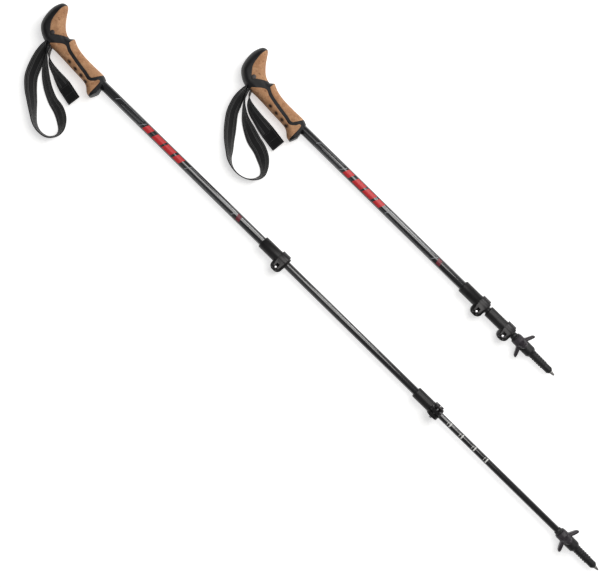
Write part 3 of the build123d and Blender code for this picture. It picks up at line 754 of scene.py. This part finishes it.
def stitch_group():
    """Geometry Nodes: a thread stitch at every Spacing along the lines that it is given."""
    group = bpy.data.node_groups.new("Stitches", "GeometryNodeTree")
    face = group.interface
    face.new_socket("Geometry", in_out="INPUT", socket_type="NodeSocketGeometry")
    for name, default, low, high in (("Spacing", 0.0024, 0.0005, 0.02), ("Stitch Length", 0.0017, 0.0003, 0.01),
                                     ("Thread Radius", 0.0003, 0.00005, 0.002), ("Jitter", 0.08, 0.0, 0.5)):
        socket = face.new_socket(name, in_out="INPUT", socket_type="NodeSocketFloat")
        socket.default_value, socket.min_value, socket.max_value = default, low, high
    face.new_socket("Seed", in_out="INPUT", socket_type="NodeSocketInt").default_value = 4
    face.new_socket("Thread", in_out="INPUT", socket_type="NodeSocketMaterial")
    face.new_socket("Geometry", in_out="OUTPUT", socket_type="NodeSocketGeometry")

    def add(kind, settings=(), **inputs):
        node = group.nodes.new(kind)
        for setting, value in settings:
            setattr(node, setting, value)
        for name, value in inputs.items():
            socket = node.inputs[name.replace("_", " ")]
            if isinstance(value, bpy.types.NodeSocket):
                group.links.new(value, socket)
            else:
                socket.default_value = value
        return node

    start = add("NodeGroupInput").outputs
    curve = add("GeometryNodeMeshToCurve", Mesh=start["Geometry"])
    spaced = add("GeometryNodeCurveToPoints", [("mode", "LENGTH")], Curve=curve.outputs["Curve"],
                 Length=start["Spacing"])
    thread = add("GeometryNodeMeshUVSphere", Segments=8, Rings=7, Radius=1.0)
    half = add("ShaderNodeMath", [("operation", "MULTIPLY")], Value=start["Stitch Length"])
    half.inputs[1].default_value = 0.5
    size = add("ShaderNodeCombineXYZ", X=start["Thread Radius"], Y=start["Thread Radius"], Z=half.outputs[0])
    most = add("ShaderNodeVectorMath", [("operation", "SCALE")], Vector=(1, 1, 1), Scale=start["Jitter"])
    least = add("ShaderNodeVectorMath", [("operation", "SCALE")], Vector=most.outputs[0], Scale=-1.0)
    turn = add("FunctionNodeRandomValue", [("data_type", "FLOAT_VECTOR")], Min=least.outputs[0],
               Max=most.outputs[0], Seed=start["Seed"])
    tilt = add("FunctionNodeRotateRotation", [("rotation_space", "LOCAL")], Rotation=spaced.outputs["Rotation"],
               Rotate_By=turn.outputs["Value"])
    placed = add("GeometryNodeInstanceOnPoints", Points=spaced.outputs["Points"],
                 Instance=thread.outputs["Mesh"], Rotation=tilt.outputs["Rotation"], Scale=size.outputs["Vector"])
    real = add("GeometryNodeRealizeInstances", Geometry=placed.outputs["Instances"])
    painted = add("GeometryNodeSetMaterial", Geometry=real.outputs["Geometry"], Material=start["Thread"])
    add("NodeGroupOutput", Geometry=painted.outputs["Geometry"])
    return group


def set_inputs(modifier, **values):
    """Sets a Geometry Nodes modifier's inputs by their names, through their identifiers."""
    for item in modifier.node_group.interface.items_tree:
        if item.item_type == "SOCKET" and item.in_out == "INPUT" and item.name.replace(" ", "_") in values:
            modifier[item.identifier] = values[item.name.replace(" ", "_")]


def make_stitches(name, side, lines, body, group):
    """Stitches along open lines of points in a pole's frame."""
    look = bpy.context.scene.trekking_straps
    points, edges = [], []
    for line in lines:
        edges += [(len(points) + i, len(points) + i + 1) for i in range(len(line) - 1)]
        points += [tuple(ORIGIN[side] + Vector(p) * MM) for p in line]
    mesh = bpy.data.meshes.new(name + "_lines")
    mesh.from_pydata(points, edges, [])
    source = bpy.data.objects.new(name + "_lines", mesh)
    bpy.context.scene.collection.objects.link(source)
    modifier = source.modifiers.new("stitches", "NODES")
    modifier.node_group = group
    set_inputs(modifier, Spacing=look.stitch_spacing, Stitch_Length=look.stitch_length,
               Thread_Radius=look.thread_radius, Seed=look.seed, Thread=materials()["thread"])
    source.update_tag()
    bpy.context.view_layer.update()
    made = bpy.data.meshes.new_from_object(source.evaluated_get(bpy.context.evaluated_depsgraph_get()))
    bpy.data.objects.remove(source)
    finish_piece(name, side, made, body, (), 60)


def make_strap(side, group):
    finishes = materials()
    eye = [(PIN[0] + EYE_R * math.cos(a), PIN[1] + EYE_R * math.sin(a), 90, 1)
           for a in np.linspace(math.pi, 0, 9)]
    make_web("strap_loop", side, LOOPS[side] + eye, WEB_THICKNESS, "webbing", finishes["web"], True)
    make_web("strap_tail", side, TAILS[side], WEB_THICKNESS, "webbing", finishes["web"])
    (x0, y0), (x1, y1, tilt, lift) = TAILS[side][-2][:2], TAILS[side][-1]
    run = math.hypot(x1 - x0, y1 - y0)
    ahead = ((x1 - x0) / run, (y1 - y0) / run)
    tab_route = [(x1 + ahead[0] * t, y1 + ahead[1] * t, tilt, lift)
                 for t in (0, TAB_LENGTH * 0.35, TAB_LENGTH * 0.7, TAB_LENGTH)]
    tab = make_web("strap_tail_tab", side, tab_route, TAB_THICKNESS, "webbing_tab", finishes["tab"])
    lines = []
    inner = tab[1:-1]
    edge = WEB_WIDTH / 2 - SEAM_INSET
    for face in (TAB_THICKNESS / 2 + 0.02, -TAB_THICKNESS / 2 - 0.02):
        lines.append([m + a * edge + t * face for m, a, t, _ in inner])
        lines.append([m - a * edge + t * face for m, a, t, _ in inner])
        for m, a, t, _ in (inner[0], inner[-1], inner[len(inner) // 2]):
            lines.append([m + a * v + t * face for v in np.linspace(-edge, edge, 5)])
    make_stitches("strap_tab_stitches", side, lines, "strap", group)


# ---- tubes and their print ------------------------------------------------------------------------
TUBE_WALL = 0.7
INK = 0.05  # how far the print stands off the lacquer
INK_ROOT = 0.03  # how far it reaches into it
TUBES = (("upper_tube", "grip"), ("middle_tube", "middle"), ("lower_tube", "lower"))
# Each print is (middle x, length, from angle, to angle, slant), with the angles in degrees from +Y.
RED_PRINT = [(223.0, 11.5, 44, 136, -4.5), (244.6, 17, 44, 136, -4.5), (265.0, 17, 44, 136, -4.5),
             (284.2, 12.5, 44, 136, -4.5)]
SILVER_PRINT = [
    (187, 47, 54.5, 58, 0), (189, 38, 98, 101, 0), (184, 52, 133, 136, 0), (212.5, 1.0, 56, 134, -7),
    (161, 1.0, 54, 100, -5), (351, 92, 50.5, 54, 0), (362, 70, 84, 86.5, 0), (348, 96, 126, 129, 0),
    (303, 1.0, 50, 128, -7), (397, 1.2, 52, 128, -7), (312, 12, 66, 69, 0), (376, 22, 62, 72, -2),
]
MAROON_PRINT = [(406, 7, 50, 130, 2)]
SCALE_MARKS = (184.6, 208.5, 233.9, 257.8)  # from the lower tube's top


def patches(prints, radius):
    """Thin closed curved patches, one for each print."""
    points, faces = [], []
    inner = radius - INK - INK_ROOT
    for middle, length, a0, a1, slant in prints:
        columns = max(3, int(abs(a1 - a0) / 4) + 1)
        first = len(points)
        for k, angle in enumerate(np.linspace(a0, a1, columns)):
            x = middle + slant * (k / (columns - 1) - 0.5)
            c, s = math.cos(math.radians(angle)), math.sin(math.radians(angle))
            for end, r in ((-0.5, radius), (0.5, radius), (0.5, inner), (-0.5, inner)):
                points.append((x + length * end, r * c, r * s))
        for k in range(columns - 1):
            h, t = first + 4 * k, first + 4 * (k + 1)
            faces += [(h + j, h + (j + 1) % 4, t + (j + 1) % 4, t + j) for j in range(4)]
        last = first + 4 * (columns - 1)
        faces += [(first + 3, first + 2, first + 1, first), (last, last + 1, last + 2, last + 3)]
    return points, faces


def make_tubes(side):
    finishes = materials()
    for node, body in TUBES:
        low, high = local(side, node)
        outer, inner = high.z - INK, high.z - TUBE_WALL
        profile = rounded([(low.x, inner), (high.x, inner), (high.x, outer), (low.x, outer)], 0.15, 2)
        put(node, side, *lathe(profile, 96), body, "tube_black", finishes["lacquer"], (node,), sharp=40)
    upper = local(side, "upper_tube")[1].z
    for name, prints in (("red", RED_PRINT), ("silver", SILVER_PRINT), ("maroon", MAROON_PRINT)):
        put(f"upper_tube_{name}_print", side, *patches(prints, upper), "grip", "tube_black", finishes[name])
    low, high = local(side, "lower_tube")
    marks = []
    for along in SCALE_MARKS:
        x = low.x + along
        marks += [(x, 2.0, 45, 135, 0), (x - 4.6, 0.9, 60, 88, 0), (x - 4.6, 0.9, 96, 122, 0),
                  (x - 3.2, 1.0, 60, 66, 0)]
    put("lower_tube_scale", side, *patches(marks, high.z), "lower", "tube_black", finishes["white"])


# ---- clamps -----------------------------------------------------------------------------------
def make_clamps(side):
    finishes = materials()
    for where, body in (("upper", "grip"), ("lower", "middle")):
        softened(side, where + "_clamp", body, finishes["clamp"], 0.45)
        softened(side, where + "_lever", where + "_lever", finishes["lever"], 0.4)
        # The barrel nuts are dark steel, which paints shade into the gap between the fork's arms.
        softened(side, where + "_barrel_nut", body, finishes["dark_steel"], 0.2)
        softened(side, where + "_tension_screw", where + "_screw", finishes["steel"], 0.2)
    for plug in ("middle_plug", "lower_plug"):
        softened(side, plug, plug, finishes["plug"], 0.3)


# ---- the tip ----------------------------------------------------------------------------------
BASKET_R, BASKET_WAVE, BASKET_OVAL, BASKET_LOBES = 15.6, 4.7, 0.9, 4
BASKET_HUB_R, BASKET_SLOPE, BASKET_WALL = 8.6, 0.5, 5.5
BASKET_BORE, BASKET_STEPS = 7.05, 144
HUB_LENGTH, HUB_GAP = 14.0, 0.3
TIP_BORE, TIP_SOCKET = 5.0, 14.0
NECK_R, NECK_LENGTH, FLANGE_R, FLANGE = 5.7, 5.0, 8.2, 1.2
THREAD_R, BOSS_R, BOSS_LENGTH, BOSS_GAP = 7.0, 8.7, 19.0, 0.6
CONE_TOP_R, CONE_END_R, CONE_LENGTH, SEAT_LENGTH = 6.0, 5.5, 34.5, 10.0
RIBS, RIB_R = 6, 6.38
NOSE, POINT_R, POINT_LENGTH, POINT_SEAT = 3.0, 2.6, 7.0, 8.0


def basket_section(hub0, hub1, reach):
    """The basket's closed section, (x, radius), where it reaches that far beyond its hub.

    It has the same number of points at every reach, so that neighbouring sections join up.
    """
    half = BASKET_WALL / 2
    soft = min(half, 0.8 * reach)
    edge = reach - soft
    section = [(hub0 + 0.3, BASKET_BORE), (hub1 - 0.3, BASKET_BORE), (hub1, BASKET_BORE + 0.3),
               (hub1, BASKET_HUB_R - 0.5)]
    outwards = [(edge * t, 1.0) for t in np.linspace(0.1, 1, 8)]
    over = [(edge + soft * math.sin(a), math.cos(a)) for a in np.linspace(0, math.pi, 13)[1:-1]]
    inwards = [(out, -1.0) for out, _ in reversed(outwards)]
    for out, face in outwards + over + inwards:
        section.append((hub1 - half + BASKET_SLOPE * out + half * face, BASKET_HUB_R + out))
    return section + [(hub1 - 6.6, BASKET_HUB_R - 0.05), (hub0 + 1, BASKET_HUB_R),
                      (hub0 + 0.25, BASKET_HUB_R - 0.6), (hub0, BASKET_HUB_R - 1.1), (hub0, BASKET_BORE + 0.35)]


def tip_profile(start, hub_end, boss_end, cone_end):
    """The tip body's closed section, (x, radius), from its neck to the nose that holds the point."""
    flange_end = start + NECK_LENGTH + FLANGE
    thread_end = hub_end + BOSS_GAP
    profile = [(start, TIP_BORE), (start, NECK_R - 0.4), (start + 0.4, NECK_R), (start + 3.5, NECK_R + 0.4),
               (start + NECK_LENGTH, FLANGE_R), (flange_end, FLANGE_R), (flange_end, THREAD_R),
               (thread_end, THREAD_R), (thread_end, BOSS_R - 1), (thread_end + 1, BOSS_R),
               (boss_end - 4, BOSS_R), (boss_end, CONE_TOP_R + 0.15)]
    pitch = (CONE_LENGTH - SEAT_LENGTH) / RIBS
    for i in range(RIBS):
        x = boss_end + (i + 0.5) * pitch
        side_r = CONE_TOP_R - (CONE_TOP_R - CONE_END_R) * (i + 0.5) / RIBS
        profile += [(x - 1.1, side_r), (x - 0.7, RIB_R), (x + 0.7, RIB_R), (x + 1.1, side_r - 0.03)]
    nose = cone_end + NOSE
    profile += [(cone_end - SEAT_LENGTH, CONE_END_R), (cone_end - 0.2, CONE_END_R), (nose, POINT_R + 0.6),
                (nose, POINT_R), (nose - POINT_SEAT, POINT_R), (nose - POINT_SEAT, 0),
                (start + TIP_SOCKET, 0), (start + TIP_SOCKET, TIP_BORE)]
    return rounded(profile, 0.45, 4)


def make_tip(side):
    finishes = materials()
    start = local(side, "tip_body")[0].x
    hub_end = start + NECK_LENGTH + FLANGE + HUB_LENGTH
    boss_end = hub_end + BOSS_LENGTH
    cone_end = boss_end + CONE_LENGTH
    body = lathe(tip_profile(start, hub_end, boss_end, cone_end), 96)
    put("tip_body", side, *body, "lower", "tip_plastic", finishes["tip"], ("tip_body",), sharp=50)
    nose = cone_end + NOSE
    end = nose + POINT_LENGTH
    point = lathe(rounded([(nose - POINT_SEAT, 0), (nose - POINT_SEAT, POINT_R), (nose + 1, POINT_R),
                           (end - 0.4, 1.4), (end, 1.1), (end - 0.8, 0)], 0.25, 3), 48)
    put("carbide_tip", side, *point, "lower", "carbide", finishes["carbide"], ("carbide_tip",), sharp=50)
    hub0, hub1 = hub_end - HUB_LENGTH + HUB_GAP, hub_end + HUB_GAP
    points, faces = [], []
    for i in range(BASKET_STEPS):
        angle = 2 * math.pi * i / BASKET_STEPS
        wave = BASKET_WAVE * math.cos(BASKET_LOBES * angle) + BASKET_OVAL * math.cos(2 * angle)
        section = basket_section(hub0, hub1, BASKET_R + wave - BASKET_HUB_R)
        points += [(x, r * math.cos(angle), r * math.sin(angle)) for x, r in section]
    n = len(points) // BASKET_STEPS
    for i in range(BASKET_STEPS):
        here, there = i * n, (i + 1) % BASKET_STEPS * n
        faces += [(here + j, here + (j + 1) % n, there + (j + 1) % n, there + j) for j in range(n)]
    put("basket", side, points, faces, "basket", "basket_plastic", finishes["basket"], ("basket",), sharp=45)


# ---- the stage ----------------------------------------------------------------------------------
FRAMED = (551.0, -11.9, 0.0)  # the middle of the view, in the left pole's frame
FRAMED_WIDTH = 0.883
VIEW_TURN = math.radians(44.4)
SENSOR = 36.0
FLOOR_HALF = 4.0
LIGHTS = (  # name, place, diameter, share of the key light's power, colour
    ("key", (0.1, 0.85, 2.0), 1.4, 1.0, (1.0, 0.985, 0.96)),
    ("side", (0.2, 1.9, 1.2), 0.7, 0.55, (1.0, 1.0, 1.0)),
    ("top", (-0.35, 0.3, 2.9), 1.6, 0.3, (1.0, 1.0, 1.0)),
    ("fill", (-0.4, -1.9, 1.2), 1.6, 0.12, (0.96, 0.98, 1.0)),
)


def area_light(name, place, size, power, colour):
    """A round light that points at the middle of the floor."""
    lamp = bpy.data.lights.new(name, "AREA")
    lamp.shape, lamp.size, lamp.energy, lamp.color = "DISK", size, power, colour
    light = bpy.data.objects.new(name, lamp)
    light.location = place
    light.rotation_euler = (-Vector(place)).to_track_quat("-Z", "Y").to_euler()
    bpy.context.scene.collection.objects.link(light)


def make_stage():
    scene, look = bpy.context.scene, bpy.context.scene.trekking_stage
    camera = bpy.data.cameras.new("camera")
    camera.lens, camera.sensor_width, camera.dof.use_dof = look.lens, SENSOR, False
    camera.clip_end = 20
    seen = bpy.data.objects.new("camera", camera)
    seen.location = ORIGIN["left"] + Vector(FRAMED) * MM + Vector((0, 0, FRAMED_WIDTH * look.lens / SENSOR))
    seen.rotation_euler = (0, 0, VIEW_TURN)
    scene.collection.objects.link(seen)
    scene.camera = seen
    mesh = bpy.data.meshes.new("floor")
    corners = [(x * FLOOR_HALF, y * FLOOR_HALF, 0) for x, y in ((-1, -1), (1, -1), (1, 1), (-1, 1))]
    mesh.from_pydata(corners, [], [(0, 1, 2, 3)])
    paper = Finish("floor_paper", Roughness=0.9, Specular_IOR_Level=0.1)
    mesh.materials.append(paper.wear(("Base Color", (0.9, 0.9, 0.9, 1)), ("Emission Color", (1, 1, 1, 1)),
                                     ("Emission Strength", look.floor_glow)))
    floor = bpy.data.objects.new("floor", mesh)
    scene.collection.objects.link(floor)
    for name, place, size, share, colour in LIGHTS:
        area_light(name, place, size, look.key_power * share, colour)
    world = bpy.data.worlds.new("studio")
    world.use_nodes = True
    background = world.node_tree.nodes["Background"]
    background.inputs["Color"].default_value = (1, 1, 1, 1)
    background.inputs["Strength"].default_value = look.world_strength
    scene.world = world
    scene.view_settings.view_transform = "Standard"


# ---- the add-on ---------------------------------------------------------------------------------
def colour_property(name, description, default):
    return bpy.props.FloatVectorProperty(name=name, description=description, subtype="COLOR", size=3,
                                         default=default, min=0, max=1)


def thread_property(name, description, default, low, high):
    return bpy.props.FloatProperty(name=name, description=description, default=default, min=low, max=high,
                                   subtype="DISTANCE", unit="LENGTH", precision=5)


class TREKKING_PG_look(bpy.types.PropertyGroup):
    rubber_colour: colour_property("Rubber", "Colour of the grip's rubber", (0.006, 0.006, 0.007))
    clamp_colour: colour_property("Clamps", "Colour of the clamps' nylon", (0.008, 0.0075, 0.008))
    lever_colour: colour_property("Levers", "Colour of the levers' nylon", (0.014, 0.013, 0.014))
    red_ink: colour_property("Print", "Colour of the blocks printed on the tubes", (0.6, 0.018, 0.024))


class TREKKING_PG_straps(bpy.types.PropertyGroup):
    stitch_spacing: thread_property("Stitch spacing", "From one stitch to the next", 0.0024, 0.0005, 0.02)
    stitch_length: thread_property("Stitch length", "Length of one stitch", 0.0017, 0.0003, 0.01)
    thread_radius: thread_property("Thread radius", "Radius of the sewing thread", 0.0003, 0.00005, 0.002)
    seed: bpy.props.IntProperty(name="Seed", description="Seed of the stitches' small turns", default=4, min=0)


class TREKKING_PG_stage(bpy.types.PropertyGroup):
    lens: bpy.props.FloatProperty(name="Lens", description="Focal length of the camera", default=100.0,
                                  min=20, max=400, subtype="DISTANCE_CAMERA", unit="CAMERA")
    key_power: bpy.props.FloatProperty(name="Key light", description="Power of the key light", default=25.0,
                                       min=0, max=2000, subtype="POWER", unit="POWER")
    floor_glow: bpy.props.FloatProperty(name="Floor glow", description="Strength of the floor's own light",
                                        default=0.5, min=0, max=20, subtype="FACTOR")
    world_strength: bpy.props.FloatProperty(name="Surroundings", description="Light from all round",
                                            default=0.18, min=0, max=10, subtype="FACTOR")


class TREKKING_OT_grips(bpy.types.Operator):
    """Build both grips"""
    bl_idname = "trekking.grips"
    bl_label = "Build Grips"

    def execute(self, context):
        shapes = build_grip_meshes()
        for side in SIDES:
            make_grip(side, shapes)
        return {"FINISHED"}


class TREKKING_OT_straps(bpy.types.Operator):
    """Build both wrist straps"""
    bl_idname = "trekking.straps"
    bl_label = "Build Straps"

    def execute(self, context):
        group = stitch_group()
        for side in SIDES:
            make_strap(side, group)
        return {"FINISHED"}


class TREKKING_OT_tubes(bpy.types.Operator):
    """Build the tubes and their print"""
    bl_idname = "trekking.tubes"
    bl_label = "Build Tubes"

    def execute(self, context):
        for side in SIDES:
            make_tubes(side)
        return {"FINISHED"}


class TREKKING_OT_clamps(bpy.types.Operator):
    """Build the clamps, levers, screws and plugs"""
    bl_idname = "trekking.clamps"
    bl_label = "Build Clamps"

    def execute(self, context):
        for side in SIDES:
            make_clamps(side)
        return {"FINISHED"}


class TREKKING_OT_tips(bpy.types.Operator):
    """Build the tips and baskets"""
    bl_idname = "trekking.tips"
    bl_label = "Build Tips"

    def execute(self, context):
        for side in SIDES:
            make_tip(side)
        return {"FINISHED"}


class TREKKING_OT_stage(bpy.types.Operator):
    """Set up the camera, floor and lights"""
    bl_idname = "trekking.stage"
    bl_label = "Set Up Stage"

    def execute(self, context):
        make_stage()
        return {"FINISHED"}


class TREKKING_PT_panel(bpy.types.Panel):
    """Settings and build steps of the trekking poles"""
    bl_idname = "TREKKING_PT_panel"
    bl_label = "Trekking Poles"
    bl_space_type = "VIEW_3D"
    bl_region_type = "UI"
    bl_category = "Trekking Poles"

    def draw(self, context):
        for group in (context.scene.trekking_look, context.scene.trekking_straps, context.scene.trekking_stage):
            box = self.layout.box()
            for name in group.__annotations__:
                box.prop(group, name)
        for operator in OPERATORS:
            self.layout.operator(operator.bl_idname)


GROUPS = {
    "trekking_look": TREKKING_PG_look,
    "trekking_straps": TREKKING_PG_straps,
    "trekking_stage": TREKKING_PG_stage,
}
OPERATORS = (TREKKING_OT_grips, TREKKING_OT_straps, TREKKING_OT_tubes, TREKKING_OT_clamps, TREKKING_OT_tips,
             TREKKING_OT_stage)


def register():
    for cls in (*GROUPS.values(), *OPERATORS, TREKKING_PT_panel):
        bpy.utils.register_class(cls)
    for name, cls in GROUPS.items():
        setattr(bpy.types.Scene, name, bpy.props.PointerProperty(type=cls))


def unregister():
    for name in GROUPS:
        delattr(bpy.types.Scene, name)
    for cls in reversed((*GROUPS.values(), *OPERATORS, TREKKING_PT_panel)):
        bpy.utils.unregister_class(cls)


def main():
    register()
    for operator in OPERATORS:
        getattr(bpy.ops.trekking, operator.bl_idname.split(".")[1])()


if __name__ == "__main__":
    main()
